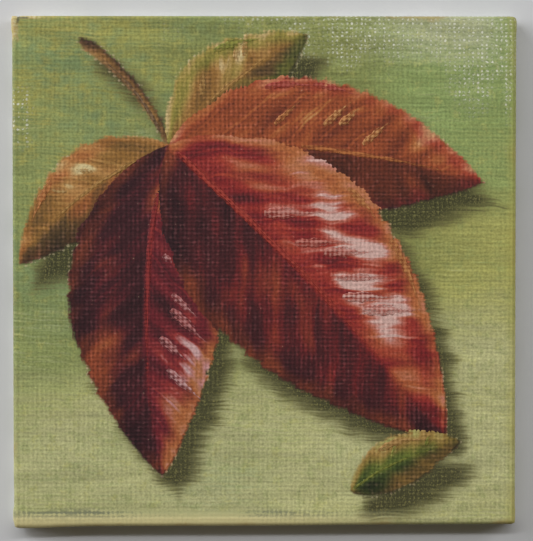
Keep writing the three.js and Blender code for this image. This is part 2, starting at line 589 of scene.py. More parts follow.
picture = {
    "shadow": (3.4, -4.6),  # how far the painted shadow falls, in millimetres on the face
    "veinGap": 6.4,
    "veinLean": 0.9,
    "toothGap": 4.4,
    "toothDepth": 1.3,
    "seed": 8,
}
rims = {  # marks by the panel's edges, in millimetres in from its outline
    "footStrip": 2.5,
    "footHem": 1.6,
    "flank": 1.1,
    # width of the painted shade along the left and top edges
    "grime": 0.7,
    "fold": 0.1,  # line that the marks of the upper left corner start from
    "nook": 1.28,  # scrap of old paint down the side of the upper left corner
    "nookFade": (5.4, 4.0),
    "lip": 0.6,  # and along its top
    "lipLength": 5.4,
    # painted crease shade: a line down from the upper left corner, and a short one along its top
    "crease": 1.3,
    "hem": 0.4,
    "hemPlace": 2.2,
    "leftPrimer": 6.4,
    "rightPrimer": 1.8,
}
hues = {
    "sage": tone(128, 135, 78),
    "fern": tone(138, 149, 92),
    "grass": tone(108, 128, 72),
    "meadow": tone(138, 159, 98),
    "straw": tone(172, 170, 98),
    "pale": tone(184, 184, 134),
    "reed": tone(106, 134, 100),
    "gold": tone(158, 142, 56),
    "mist": tone(178, 182, 148),
    "olive": tone(98, 94, 56),
    "flank": tone(166, 160, 82),
    "shade": tone(46, 46, 28),
    "scumble": tone(132, 128, 76),
    "slate": tone(124, 128, 104),
    "ochre": tone(164, 132, 72),
    # painted shade in the creases of the upper left corner
    "crease": tone(74, 82, 64),
    "plum": tone(42, 20, 26),
    "cream": tone(196, 186, 148),
    "gesso": tone(226, 228, 212),
    "hem": tone(214, 203, 150),
    "bloom": tone(98, 66, 68),  # dry paint caught on the threads, and a painted sheen on their crests
}
ramps = {  # each leaflet's colours from its deepest shade to its highlight
    "crimson": [
        (0.0, tone(40, 18, 24)), (0.22, tone(70, 28, 32)), (0.48, tone(124, 34, 36)),
        (0.68, tone(158, 56, 44)), (0.84, tone(182, 104, 92)), (1.0, tone(206, 170, 162)),
    ],
    "wine": [
        (0.0, tone(34, 16, 22)), (0.25, tone(60, 26, 32)), (0.5, tone(104, 32, 40)),
        (0.7, tone(142, 50, 48)), (0.86, tone(176, 112, 112)), (1.0, tone(196, 158, 158)),
    ],
    "ember": [
        (0.0, tone(56, 28, 22)), (0.25, tone(104, 48, 32)), (0.5, tone(152, 76, 42)),
        (0.72, tone(178, 112, 62)), (1.0, tone(206, 168, 116)),
    ],
    "ochre": [
        (0.0, tone(50, 40, 26)), (0.25, tone(92, 70, 40)), (0.5, tone(142, 102, 50)),
        (0.74, tone(172, 132, 76)), (1.0, tone(206, 188, 140)),
    ],
    "moss": [
        (0.0, tone(34, 42, 24)), (0.28, tone(64, 78, 36)), (0.55, tone(98, 110, 46)),
        (0.78, tone(142, 140, 64)), (1.0, tone(186, 184, 120)),
    ],
    "bark": [
        (0.0, tone(34, 24, 20)), (0.35, tone(74, 54, 40)), (0.65, tone(112, 86, 62)),
        (1.0, tone(170, 150, 118)),
    ],
}
leafHeart = (-19.0, 25.0)  # where the leaflets meet, in millimetres on the face
leaflets = [  # painted from the back to the front
    {"name": "stalk", "base": leafHeart, "angle": 130, "length": 27, "half": 1.15, "bend": -2.0,
     "hue": "bark", "glow": "ochre", "shine": 0.7, "litSide": 1},
    {"name": "upper", "base": leafHeart, "angle": 38, "length": 36, "half": 9, "bend": 2,
     "hue": "ochre", "glow": "moss", "shine": 0.8, "litSide": 1},
    {"name": "left", "base": leafHeart, "angle": 219, "length": 39, "half": 8.5, "bend": -3,
     "hue": "ochre", "glow": "ember", "shine": 0.8, "litSide": -1},
    {"name": "right", "base": leafHeart, "angle": -7, "length": 64, "half": 14, "bend": 3,
     "hue": "ember", "glow": "crimson", "shine": 0.8, "litSide": 1},
    {"name": "down", "base": leafHeart, "angle": -91, "length": 67, "half": 16, "bend": -4,
     "hue": "wine", "glow": "ember", "shine": 0.93, "litSide": 1},
    {"name": "middle", "base": leafHeart, "angle": -47, "length": 82, "half": 20, "bend": 2,
     "hue": "crimson", "glow": "ember", "shine": 0.93, "litSide": 1},
    {"name": "fallen", "base": (17.0, -44.0), "angle": 24, "length": 25, "half": 5.4, "bend": 1.5,
     "hue": "moss", "glow": "ochre", "shine": 0.8, "litSide": 1},
]


def waves(x, y, lengths, random):  # a few crossing sine waves, from -1 to 1
    total = np.zeros_like(x)
    for length in lengths:
        angle = random.uniform(0, math.pi)
        phase = random.uniform(0, math.tau)
        total += np.sin((x * math.cos(angle) + y * math.sin(angle)) * math.tau / length + phase)
    return total / len(lengths)


def leafWidth(leaf, along):  # half the width of a leaflet, by the share of its length
    if leaf["name"] == "stalk":
        return leaf["half"] * (0.7 + along * 0.6)
    widest = 0.2945  # the greatest value of the curve below
    return along**0.75 * (1 - along) ** 1.05 * leaf["half"] / widest


def leafBend(leaf, along):  # how far the midrib bows out
    return 4 * leaf["bend"] * along * (1 - along)


def leafField(x, y, leaf, shift=(0, 0)):  # share along a leaflet, place across it, depth inside its edge
    angle = math.radians(leaf["angle"])
    fromX = x - leaf["base"][0] - shift[0]
    fromY = y - leaf["base"][1] - shift[1]
    free = (fromX * math.cos(angle) + fromY * math.sin(angle)) / leaf["length"]
    along = np.clip(free, 0, 1)
    across = fromY * math.cos(angle) - fromX * math.sin(angle) - leafBend(leaf, along)
    depth = leafWidth(leaf, along) - abs(across) - abs(free - along) * leaf["length"]
    return along, across, depth - 0.7 * step(free, 0.93, 1.0)


def onLeaf(leaf, along, across):  # the other way round: a place on the face
    angle = math.radians(leaf["angle"])
    bent = across + leafBend(leaf, along)
    far = along * leaf["length"]
    x = leaf["base"][0] + far * math.cos(angle) - bent * math.sin(angle)
    y = leaf["base"][1] + far * math.sin(angle) + bent * math.cos(angle)
    return np.stack([x, y], -1)


def drawLeaflets(piece):  # keeps every leaflet's field and the painted shadow on the cloth's points
    mesh = piece.data
    places = np.zeros(len(mesh.vertices) * 3)
    mesh.vertices.foreach_get("co", places)
    x = places[0::3] / mm
    y = places[1::3] / mm
    random = np.random.default_rng(picture["seed"])
    uneven = 0.55 + 0.45 * waves(x, y, (9.0, 14.0, 23.0), random)
    farAway = -30.0
    onGround = np.full(len(x), farAway)
    onLeaflets = onGround.copy()
    for number, leaf in enumerate(leaflets):
        along, across, depth = leafField(x, y, leaf)
        teeth = ((along * leaf["length"] - abs(across) * 0.5) / picture["toothGap"]) % 1
        deepest = min(picture["toothDepth"], leaf["half"] * 0.15) * (1 - step(along, 0.7, 0.92))
        toothed = depth - teeth * uneven * deepest
        cast = leafField(x, y, leaf, picture["shadow"])[2]
        onGround = np.maximum(onGround, cast)
        onLeaflets = np.where(depth > 0.6, farAway, np.maximum(onLeaflets, cast))
        field = np.stack([along * leaf["length"], across * leaf["litSide"], toothed], -1)
        addField(mesh, "leaflet" + str(number), field)
    addField(mesh, "shade", np.stack([onGround, onLeaflets, onGround * 0], -1))


def faceMarks(w):  # places, noises, threads and brush marks that every coat of paint shares
    place = w.place()
    x, y = place.parts()[:2]
    fine, fleck, dust = w.speckle(place, 2.6)
    driftS, driftT, wander = w.speckle(place, 0.5, 1.0)
    sway, lead, wear = w.speckle(place, 0.11)
    s, t = w.attribute("thread").parts()[:2]
    waveS = ((s + (driftS - 0.5) * 0.5) * math.tau).cos()
    waveT = ((t + (driftT - 0.5) * 0.5) * math.tau).cos()
    tilt = lead.smooth(0.35, 0.65)  # where the upright threads show more than the level ones
    bumps = waveS * (0.18 + tilt * 0.14) + waveT * (0.32 - tilt * 0.14)
    load = w.noiseAt(s * 0.8, t * 0.8, 3.0, 1.0).smooth(0.3, 0.7)
    crest = (bumps + 0.1).smooth(-0.2, 0.5) * (0.3 + load * 0.7)
    grain = crest * 0.6 + (fine - 0.5) * 0.8 + 0.3
    level = y + (sway - 0.5) * 2.5 + x * 0.03
    band = w.noiseAt(x * 0.045, level * 0.34, 1.0)
    hair = w.noiseAt(x * 0.11, level * 2.3, 5.0)
    broad, cool, warm = w.speckle(w.point(x * 0.035, y * 0.06, 4.0), 1.0, 1.0)
    return {
        "x": x, "y": y, "reach": w.attribute("reach", "Fac"),
        "fromLeft": x + halfX / mm, "fromRight": halfX / mm - x,
        "fromTop": halfY / mm - y, "fromFoot": y + halfY / mm,
        "fine": fine, "fleck": fleck, "dust": dust,
        "driftS": driftS, "driftT": driftT, "wander": wander, "sway": sway, "wear": wear,
        "waveS": waveS, "waveT": waveT, "gap": (waveS + waveT).smooth(-1.0, -1.8),
        "bumps": bumps, "load": load, "crest": crest, "grain": grain,
        "band": band, "hair": hair, "brush": band * 0.7 + hair * 0.3,
        "broad": broad, "cool": cool, "warm": warm,
    }


def take(marks, names):  # some of the marks, by their names
    return [marks[name] for name in names.split()]


def groundCoat(w, marks):  # level strokes of several greens
    x, y, band, hair, brush = take(marks, "x y band hair brush")
    broad, cool, warm, wander = take(marks, "broad cool warm wander")
    driftS, driftT, fleck, dust = take(marks, "driftS driftT fleck dust")
    upperLeft = x.smooth(16, -40) * y.smooth(-22, 6) * 0.42
    upperRight = (x + brush * 24).smooth(26, 48) * (y + brush * 12).smooth(14, 28)
    topStrip = (y + brush * 14).smooth(46, 55) * x.smooth(14, 38) * x.smooth(50, 41)
    slant = y - x * 0.12 + (broad - 0.5) * 40 + brush * 24
    glints = (warm * 0.5 + driftT * 0.3 + hair * 0.3).smooth(0.5, 0.7)
    ground = w.layered(hues["sage"], [
        (hues["fern"], (brush * 30 - x).smooth(12, 56) * 0.85),
        (hues["straw"], (x + brush * 40).smooth(30, 70) * y.smooth(26, 8) * 0.85),
        (hues["meadow"], upperRight * 0.9),
        (hues["mist"], topStrip * 0.85),
        (hues["pale"], slant.smooth(8, -18)),
        (hues["straw"], (warm * 0.6 + hair * 0.5).smooth(0.5, 0.78) * 0.35),
        (hues["grass"], (cool * 0.6 + hair * 0.5).smooth(0.54, 0.78) * 0.5),
        (hues["mist"], (broad * 0.5 + hair * 0.6).smooth(0.6, 0.78) * 0.3),
        (hues["fern"], (driftS * 0.6 + fleck * 0.4).smooth(0.5, 0.66) * 0.4),
        (hues["straw"], (driftT * 0.6 + dust * 0.4).smooth(0.53, 0.68) * 0.35),
        (hues["reed"], (cool * 0.6 + wander * 0.5).smooth(0.5, 0.7) * upperLeft),
        (hues["gold"], glints * upperLeft),
    ])
    return ground.scaled(0.4 + band * 0.6 + hair * 0.6)


def shadowCoat(w, marks, ground):  # the leaf's shadow, broken up by the brush and the threads
    x, y, hair, brush, sway = take(marks, "x y hair brush sway")
    grain, crest, fleck = take(marks, "grain crest fleck")
    cast = w.attribute("shade").parts()[0] + (grain - 0.5) * 1.4
    cast = cast + (sway - 0.5) * 5 + (brush - 0.5) * 8 + (hair - 0.5) * 3
    shadow = cast.smooth(-0.6, 2.8)
    speck = w.noiseAt(x * 5.0, y * 3.2, 2.0, 1.0)
    dots = (crest * 0.5 + (fleck - 0.5) * 1.8 + (speck - 0.5) * 3).smooth(0.1, 0.9)
    colour = w.layered(ground, [
        (hues["olive"], cast.smooth(-2.2, 0.8) * 0.75),
        (hues["shade"], shadow * 0.8),
        (hues["scumble"], shadow * dots * (0.4 + hair * 0.5)),
    ])
    return colour, shadow


def leafValue(w, field, length, sway, grain, shadow):  # how light the paint is, and how much it glows
    along, across, depth = field.parts()
    lit = across.smooth(-0.9, 1.5)
    out = abs(across)
    share = along / length
    seed = length * 0.37
    run = along - out * picture["veinLean"] + (sway - 0.5) * 5
    puff = (run * (math.tau / picture["veinGap"])).cos()  # -1 on a vein, 1 between two
    bristle = w.noiseAt(run * 0.9, out * 0.16, seed)
    dab = w.noiseAt(run * 0.2, out * 0.13, seed + 4, 1.0, 0.4)
    patch = w.noiseAt(along * 0.055, across * 0.08, seed + 8, 1.0)
    value = 0.26 + lit * 0.26 + (dab - 0.5) * 0.55 + (patch - 0.5) * 0.6 + (bristle - 0.5) * 0.16
    value = value + puff * (0.02 + lit * 0.05)
    vein = puff.smooth(-0.9, -0.985) * depth.smooth(0.8, 4.0) * (sway + dab - 0.5).smooth(0.35, 0.6)
    value = value + vein * (0.05 + lit * 0.1)
    value = value + depth.smooth(2.6, 0.4) * lit * 0.16 - depth.smooth(6.5, 2.5) * (1 - lit) * 0.06
    shine = out.smooth(1.5, 4.5) * depth.smooth(1.5, 5) * share.smooth(0.2, 0.4) * share.smooth(0.85, 0.6)
    value = value + shine * lit * (dab * 0.7 + patch * 0.5 + (bristle - 0.5) * 0.3).smooth(0.52, 0.8) * 0.46
    value = value + out.smooth(1.2, 0.2) * share.smooth(1.0, 0.5) * (0.06 + sway * 0.18)
    value = value + (grain - 0.5) * 0.08 - shadow * 0.2
    glow = (patch * 0.9 + dab * 0.5 + depth.smooth(5, 0.5) * 0.25).smooth(0.72, 1.02)
    glow = glow * value.smooth(0.95, 0.65)
    outline = depth.smooth(1.1, 0.1) * (1 - lit) * sway.smooth(0.35, 0.6)
    return value, glow, outline


def leafCoat(w, marks):  # the front leaflet at each place gives the field that its paint follows
    sway, grain, brush = take(marks, "sway grain brush")
    edgeJitter = (grain - 0.5) * 0.7 + (brush - 0.5) * 0.9
    field = w.point(0.0, 0.0, -9.0)
    length = 1.0
    cover = None
    chosen = []
    for number, leaf in enumerate(leaflets):
        own = w.attribute("leaflet" + str(number))
        ragged = own.parts()[2] + edgeJitter
        front = ragged.above(-0.4)
        field = field.pick(own, front)
        length = length + front * (leaf["length"] - length)
        soft = ragged.smooth(-0.4, 0.5)
        cover = soft if cover is None else cover.most(soft)
        chosen.append(front)
    leafCast = w.attribute("shade").parts()[1]
    onLower = (leafCast + (sway - 0.5) * 3).smooth(-1.5, 3.0)
    value, glow, outline = leafValue(w, field, length, sway, grain, onLower)
    body = hues["plum"]
    light = hues["plum"]
    for leaf, front in zip(leaflets, chosen):
        body = w.blend(body, w.ramp(value, ramps[leaf["hue"]]), front)
        light = w.blend(light, w.ramp(value + 0.06, ramps[leaf["glow"]]), front)
    body = w.layered(body, [(light, glow * 0.75), (hues["plum"], outline * 0.55)])
    return body, cover, value


def threadCoat(w, marks, colour, cover, value):  # thin paint over the weave: dry paint and painted highlight on the crests, painted shade in the pits
    fine, fleck, dust, wander, wear = take(marks, "fine fleck dust wander wear")
    bumps, load, crest, gap = take(marks, "bumps load crest gap")
    dry = (wander * 0.6 + wear * 0.5).smooth(0.4, 0.7)
    # painted light and shade of the weave: crests lighter, hollows darker, most where the paint is thin
    thinPaintAndWeaveShade = 0.22 + cover * (0.2 + dry * 0.32) * (1 - value.smooth(0.3, 0.7) * 0.75)
    colour = colour.scaled(1.0 + bumps * thinPaintAndWeaveShade * (0.5 + load) + (fine - 0.5) * 0.8 + (dust - 0.5) * 0.4)
    # dry paint caught on the crests, with a painted sheen on them
    caughtPaintAndSheen = crest * load * (0.1 + dry * 0.5) * (0.15 + cover * 0.6)
    colour = w.blend(colour, hues["bloom"], caughtPaintAndSheen, "ADD")
    spark = crest.smooth(0.6, 0.9) * fleck.smooth(0.66, 0.74) * cover
    colour = w.blend(colour, hues["cream"], spark * 0.35)
    # painted shade in the pits between the threads
    pitShade = gap * dust.smooth(0.42, 0.62) * (0.1 + wander * 0.5) * (0.4 + cover * 0.5)
    return w.blend(colour, colour.scaled(0.5), pitShade)


def primerCoat(w, marks, colour, cover, shadow):  # bare primer in the gaps and along the outlines
    x, y, fromLeft, fromRight = take(marks, "x y fromLeft fromRight")
    fine, fleck, dust, wander, wear = take(marks, "fine fleck dust wander wear")
    waveS, waveT, load, crest = take(marks, "waveS waveT load crest")
    topCorner = (wear * 0.5 + (y + x * 0.3) * 0.012).smooth(0.78, 0.95)
    leftEdge = (fromLeft - rims["leftPrimer"] + fine * 3).smooth(0, -3)
    leftEdge = leftEdge * abs(y - 32 + wander * 3).smooth(7.0, 3.5)
    leftEdge = leftEdge * (load + fleck - 0.5).smooth(0.45, 0.95) * 0.8
    rightEdge = abs(rims["rightPrimer"] - fromRight + (fine - 0.5) * 1.6).smooth(1.2, 0.4)
    rightEdge = rightEdge * (y - 36 + wander * 8).smooth(-4, 4)
    spots = topCorner.most(rightEdge) * (dust * 0.7 + fleck * 0.5).smooth(0.5, 0.68) * (load * 1.3).clip()
    hole = (waveS + waveT + (fine - 0.5) * 1.4).smooth(-0.3, -1.2)
    openGround = (1 - cover) * (1 - shadow)
    outline = cover * (1 - cover) * 4 * crest.smooth(0.35, 0.7) * wear.smooth(0.46, 0.58)
    return w.layered(colour, [
        (hues["mist"], spots * openGround * 0.4),
        (hues["gesso"], hole * spots.most(leftEdge) * openGround * 0.9),
        (hues["cream"], outline * (1 - shadow * 0.4) * 0.65),
    ])


def edgeCoat(w, marks, colour, uneven):  # pale foot, rubbed folds and painted shade along the left and top edges
    x, reach, broad, brush, grain = take(marks, "x reach broad brush grain")
    fromLeft, fromRight, fromTop, fromFoot = take(marks, "fromLeft fromRight fromTop fromFoot")
    fine, wander, wear = take(marks, "fine wander wear")
    foot = (fromFoot - rims["footStrip"] + (brush - 0.5) * 4 + (grain - 0.5) * 0.8).smooth(0.7, -0.7)
    strip = w.layered(hues["slate"], [
        (hues["pale"], (broad + (grain - 0.5) * 0.5).smooth(0.35, 0.6)),
        (hues["hem"], ((fromFoot - rims["footHem"]).smooth(1.0, -1.0) + (grain - 0.5) * 0.6).clip()),
    ])
    rub = (reach + uneven).smooth(0.3, 1.7) * (wander + wear - 0.5).smooth(0.4, 0.7)
    flank = (rims["flank"] - fromRight + (wear - 0.5) * 3 + (grain - 0.5) * 0.6).smooth(-1.6, 1.4)
    # painted shade: the left and top edges are darkened, the top one more towards the right
    leftPaintedShade = (fromLeft - rims["grime"] + (fine - 0.5) * 0.5).smooth(0.4, -0.6) * 0.26
    topPaintedShade = (rims["grime"] - fromTop + (fine - 0.5) * 0.5).smooth(-0.3, 0.6) * (0.15 + x * 0.002)
    colour = w.layered(colour, [
        (strip, foot * x.smooth(36, -6) * 0.85),
        (hues["ochre"], rub * 0.5),
        (hues["flank"], flank * 0.5),
    ])
    # the painted shade of the left and top edges darkens the colour here
    return colour.scaled(1 - leftPaintedShade.most(topPaintedShade))


def cornerCoat(w, marks, colour):  # scraps of old paint and painted crease shade at the upper left corner
    fromLeft, fromTop, grain = take(marks, "fromLeft fromTop grain")
    fine, fleck, dust = take(marks, "fine fleck dust")
    fromFold = fromTop - rims["fold"]
    ragged = fromFold + (fleck - 0.5) * 2.4
    nook = (fromLeft - rims["nook"] + (fine - 0.5) * 0.6).smooth(0.2, -0.2)
    nook = nook * ragged.smooth(*rims["nookFade"])
    lipEnd = (fromLeft - rims["lipLength"] + (fleck - 0.5) * 4).smooth(1, -1)
    lip = (rims["lip"] - fromTop + (fine - 0.5) * 0.5).smooth(-0.2, 0.2) * lipEnd
    scrap = w.layered(hues["ochre"], [
        (hues["cream"], (grain + (dust - 0.5) * 1.6).clip()),
        (hues["flank"], ((fleck - 0.5) * 3 + ragged * 0.08).clip() * 0.7),
    ])
    # painted shade in the crease down the side of the corner, and in a short line along its top
    slit = abs(fromLeft - rims["crease"] + fromFold * 0.12).smooth(0.42, 0.08)
    slit = slit * (rims["crease"] - fromTop).smooth(-0.6, 0.4)
    hem = abs(fromTop - rims["hem"]).smooth(0.3, 0.05) * abs(fromLeft - rims["hemPlace"]).smooth(1.4, 0.7)
    return w.layered(colour, [(scrap, nook.most(lip) * 0.8), (hues["crease"], slit.most(hem) * 0.8)])


def backCoat(w, marks, colour, uneven):  # primed cloth from the side downwards, with smears on the back
    x, y, reach, grain = take(marks, "x y reach grain")
    smear = w.noiseAt(x * 0.11, y * 0.16, 12.0, 3.0, 0.6)
    smear = (smear + (grain - 0.5) * 0.14).smooth(0.6, 0.68) * reach.smooth(3.5, 4.5)
    return w.layered(colour, [
        (hues["gesso"], (reach + uneven * 0.7).smooth(1.9, 3.6)),
        (hues["olive"], smear * 0.6),
        (hues["cream"], reach.smooth(4.0, 5.2) * (1 - smear) * 0.5),
    ])


def paintFinish():
    material, w, shader = newMaterial("oilPaint", 0.28)
    marks = faceMarks(w)
    ground, shadow = shadowCoat(w, marks, groundCoat(w, marks))
    body, cover, value = leafCoat(w, marks)
    colour = threadCoat(w, marks, w.blend(ground, body, cover), cover, value)
    colour = primerCoat(w, marks, colour, cover, shadow)
    reach, wear, grain, crest = take(marks, "reach wear grain crest")
    fine, hair, gap = take(marks, "fine hair gap")
    uneven = (wear - 0.5) * 4 + (grain - 0.5) * 0.9
    colour = edgeCoat(w, marks, colour, uneven)
    colour = cornerCoat(w, marks, colour)
    colour = backCoat(w, marks, colour, uneven)
    height = crest * 0.02 + hair * 0.012 + fine * 0.014 - gap * 0.012
    rough = 0.5 + fine * 0.14 + gap * 0.1 + reach.smooth(1.5, 4.0) * 0.25
    feed(shader, BaseColor=colour, Roughness=rough, Normal=w.relief(height, 0.6))
    print("paint mixed:", len(material.node_tree.nodes), "nodes")
    return material


oilPaint = paintFinish()
canvasPiece = buildCloth()
drawLeaflets(canvasPiece)
runTree(canvasPiece, *weaveTree(oilPaint))
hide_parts("canvas")
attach(canvasPiece, "root")
print("cloth woven:", len(canvasPiece.data.polygons), "faces")


# Thick paint and loose threads: tubes of paint or cotton that follow short paths

strokes = {
    "stepLength": 0.2 * mm,
    "flatness": 0.055,  # height of a stroke for its width
    "ridge": 0.06 * mm,  # marks of the bristles
    "ragged": 0.24 * mm,  # how far the sides break over the threads
    "taper": 0.8,
    "sides": 12,
    "seed": 21,
    "lift": 0.01 * mm,  # above the face
    "fewest": 4,  # points that a stroke needs
    "clearance": 0.2,  # from a leaflet that lies over it, in millimetres
    "underShare": 0.84,  # light of the paint below for that of the stroke
    "fullSize": 14,  # half the width of a leaflet that has full-sized strokes, in millimetres
}
touches = {  # spans and starts are shares of a leaflet's length, places of its width, sizes millimetres
    "stalk": {"points": 12, "span": (0.1, 0.9), "aside": 0.4, "width": 1.1},
    "midrib": {"points": 24, "span": (0.03, 0.9), "waver": 0.12, "bends": 9, "width": 1.1, "least": 0.4,
               "light": 0.7},
    "margin": {"points": 14, "perSize": 2, "starts": (0.2, 0.6), "lengths": (7, 13), "inside": 1.6,
               "widths": (1.5, 2.2), "light": 0.78},
    "shine": {"points": 12, "perSize": 4, "start": 0.24, "span": 0.36, "places": (0.35, 0.6), "reach": 2.6,
              "stretch": (0.8, 1.3), "widths": (1.6, 2.6), "lights": (0.93, 1.07)},
}
frays = {
    "stepLength": 0.12 * mm,
    "flatness": 0.8,
    "ridge": 0.015 * mm,
    "ragged": 0.05 * mm,
    "taper": 0.12,
    "sides": 6,
    "seed": 4,
    "lift": 0.02 * mm,  # off the back of the margin
    "curlLift": 0.1 * mm,
    "perCorner": 9,
    "points": 9,  # along a thread
    "insets": (2.0 * mm, 5.6 * mm),  # nearest and farthest from the outline
    "thickness": 0.13 * mm,
    "length": 2.2 * mm,
}


def pathTree(name, sizes, material):  # sweeps a flattened round along every path
    given = {
        "Step length": sizes["stepLength"],
        "Flatness": sizes["flatness"],
        "Ridge": sizes["ridge"],
        "Ragged": sizes["ragged"],
        "Taper": sizes["taper"],
        "Sides": sizes["sides"],
        "Seed": sizes["seed"],
    }
    tree, sockets = newTree(name, given)
    w = sockets["Geometry"]
    path = w.node("GeometryNodeMeshToCurve", None, {"Mesh": w})
    evenly = {"Curve": path, "Length": sockets["Step length"]}
    path = w.node("GeometryNodeResampleCurve", {"mode": "LENGTH"}, evenly)
    path = w.node("GeometryNodeSetCurveNormal", {"mode": "Z_UP"}, {"Curve": path})
    share = w.node("GeometryNodeSplineParameter", None, None, "Factor")
    run = w.node("GeometryNodeSplineParameter", None, None, "Length")
    path = path.keep("run", run).keep("share", share)
    ends = (share + 0.01) ** 0.25 * (1.01 - share) ** sockets["Taper"] * 1.25
    rim = w.node("GeometryNodeCurvePrimitiveCircle", None, {"Resolution": sockets["Sides"], "Radius": 0.5})
    rim = rim.keep("girth", w.node("GeometryNodeSplineParameter", None, None, "Factor"))
    squash = w.point(1.0, sockets["Flatness"], 1.0)
    rim = w.node("GeometryNodeTransform", None, {"Geometry": rim, "Scale": squash})
    uneven = 0.5 + w.noiseAt(run * 700, sockets["Seed"] * 1.3, share)
    width = w.field("width") * ends * uneven
    sweep = {"Curve": path, "Profile Curve": rim, "Scale": width, "Fill Caps": True}
    shape = w.node("GeometryNodeCurveToMesh", None, sweep)
    seed = sockets["Seed"] * 1.7
    x, y = w.node("GeometryNodeInputPosition").scaled(1 / mm).parts()[:2]
    bristle = w.noiseAt(w.field("run") * 250, w.field("girth") * 17, x * 0.2 + seed, 1.0) - 0.5
    edge = w.noise(w.point(x, y, seed + 3), 2.2) - 0.5
    normalX, normalY, normalZ = w.node("GeometryNodeInputNormal").parts()
    aside = edge * sockets["Ragged"] * 2
    offset = w.point(normalX * aside, normalY * aside, normalZ * bristle * sockets["Ridge"] * 2)
    shape = w.node("GeometryNodeSetPosition", None, {"Geometry": shape, "Offset": offset})
    shape = w.node("GeometryNodeSetShadeSmooth", None, {"Geometry": shape})
    endTree(tree, shape, material)
    return tree, given


def pathPiece(name, paths, sizes, material):  # paths: points, and fields such as the width at each
    fields = {label: np.concatenate([path[label] for path in paths]) for label in paths[0]}
    points = fields.pop("points")
    edges = []
    first = 0
    for path in paths:
        count = len(path["points"])
        edges.extend((first + number, first + number + 1) for number in range(count - 1))
        first += count
    piece = newMesh(name, points, [], fields, edges)
    return runTree(piece, *pathTree(name + "Paths", sizes, material))


def rampTone(name, value):  # colour at a place on one of the ramps
    stops = ramps[name]
    places = [stop[0] for stop in stops]
    return np.array([np.interp(value, places, [stop[1][part] for stop in stops]) for part in range(3)])


def strokePath(leaf, ramp, along, across, width, light):  # one stroke, or none where it is covered
    flat = onLeaf(leaf, along, across)
    for front in leaflets[leaflets.index(leaf) + 1:]:
        flat = flat[leafField(flat[:, 0], flat[:, 1], front)[2] < -strokes["clearance"]]
    count = len(flat)
    if count < strokes["fewest"]:
        return []
    return [{
        "points": np.column_stack([flat * mm, np.full(count, faceTop + strokes["lift"])]),
        "width": np.full(count, width * mm),
        "paint": np.tile(rampTone(ramp, light), (count, 1)),
        "under": np.tile(rampTone(ramp, light * strokes["underShare"]), (count, 1)),
    }]


def stalkStroke(leaf):
    stalk = touches["stalk"]
    along = np.linspace(*stalk["span"], stalk["points"])
    across = np.full(stalk["points"], stalk["aside"])
    return strokePath(leaf, leaf["hue"], along, across, stalk["width"], leaf["shine"])


def midribStroke(leaf, size):
    midrib = touches["midrib"]
    along = np.linspace(*midrib["span"], midrib["points"])
    across = midrib["waver"] * np.sin(along * midrib["bends"] + leaf["angle"])
    width = midrib["width"] * size + midrib["least"]
    return strokePath(leaf, leaf["hue"], along, across, width, midrib["light"])


def marginStroke(leaf, random):  # light along the edge
    margin = touches["margin"]
    start = random.uniform(*margin["starts"])
    length = random.uniform(*margin["lengths"])
    along = start + np.linspace(0, length, margin["points"]) / leaf["length"]
    across = (leafWidth(leaf, along) - margin["inside"]) * leaf["litSide"]
    width = random.uniform(*margin["widths"])
    return strokePath(leaf, leaf["glow"], along, across, width, margin["light"])


def shineStroke(leaf, size, number, random):  # a highlight between two veins
    shine = touches["shine"]
    share = (number + random.uniform(0.1, 0.9)) / (shine["perSize"] * size)
    start = shine["start"] + shine["span"] * share
    middle = leafWidth(leaf, start) * random.uniform(*shine["places"])
    reach = shine["reach"] * size * random.uniform(*shine["stretch"])
    across = middle + np.linspace(-reach, reach, shine["points"])
    along = start + across * picture["veinLean"] / leaf["length"]
    width = random.uniform(*shine["widths"]) * math.sqrt(size)
    light = leaf["shine"] * random.uniform(*shine["lights"])
    return strokePath(leaf, leaf["hue"], along, across * leaf["litSide"], width, light)


def paintPaths():
    random = np.random.default_rng(strokes["seed"])
    paths = []
    for leaf in leaflets:
        if leaf["name"] == "stalk":
            paths += stalkStroke(leaf)
            continue
        size = leaf["half"] / strokes["fullSize"]
        paths += midribStroke(leaf, size)
        for number in range(round(touches["margin"]["perSize"] * size)):
            paths += marginStroke(leaf, random)
        for number in range(round(touches["shine"]["perSize"] * size)):
            paths += shineStroke(leaf, size, number, random)
    return paths


def strokeFinish():
    material, w, shader = newMaterial("thickPaint", 0.35)
    run = w.attribute("run", "Fac")
    girth = w.attribute("girth", "Fac")
    share = w.attribute("share", "Fac")
    place = w.place()
    x, y = place.parts()[:2]
    streak = w.noiseAt(run * 300, girth * 22, 2.0)
    fine, fleck = w.speckle(place, 2.2)[:2]
    flank = abs((girth * math.tau).cos())  # 1 along both sides of a stroke
    bumps = (x * (math.tau * mm / warpPitch)).cos() * 0.25 + (y * (math.tau * mm / weftPitch)).cos() * 0.25
    load = w.noiseAt(run * 200, girth * 3, 4.0, 1.0)  # the brush runs dry
    spent = share.smooth(0.3, 1.0) * 0.6 + flank * 0.5
    left = 0.58 + bumps * 0.4 + (load - 0.5) * 1.2 - spent + (fine - 0.5) * 0.8 + (streak - 0.5) * 2.0
    kept = left.smooth(-0.15, 0.55)  # paint that the threads took off the brush
    body = (streak + bumps * 0.6 + (fleck - 0.5) * 0.8 - flank * 0.25).smooth(0.1, 0.8)
    colour = w.blend(w.attribute("under"), w.attribute("paint"), body)
    # painted light and shade of the weave under the stroke: lighter over the crests, darker between them
    colour = colour.scaled(0.98 + bumps * 0.3 + (streak - 0.5) * 0.4)
    relief = w.relief(streak * 0.02 + fine * 0.02, 0.5)
    feed(shader, BaseColor=colour, Roughness=0.42 + fine * 0.2, Normal=relief, Alpha=kept)
    return material


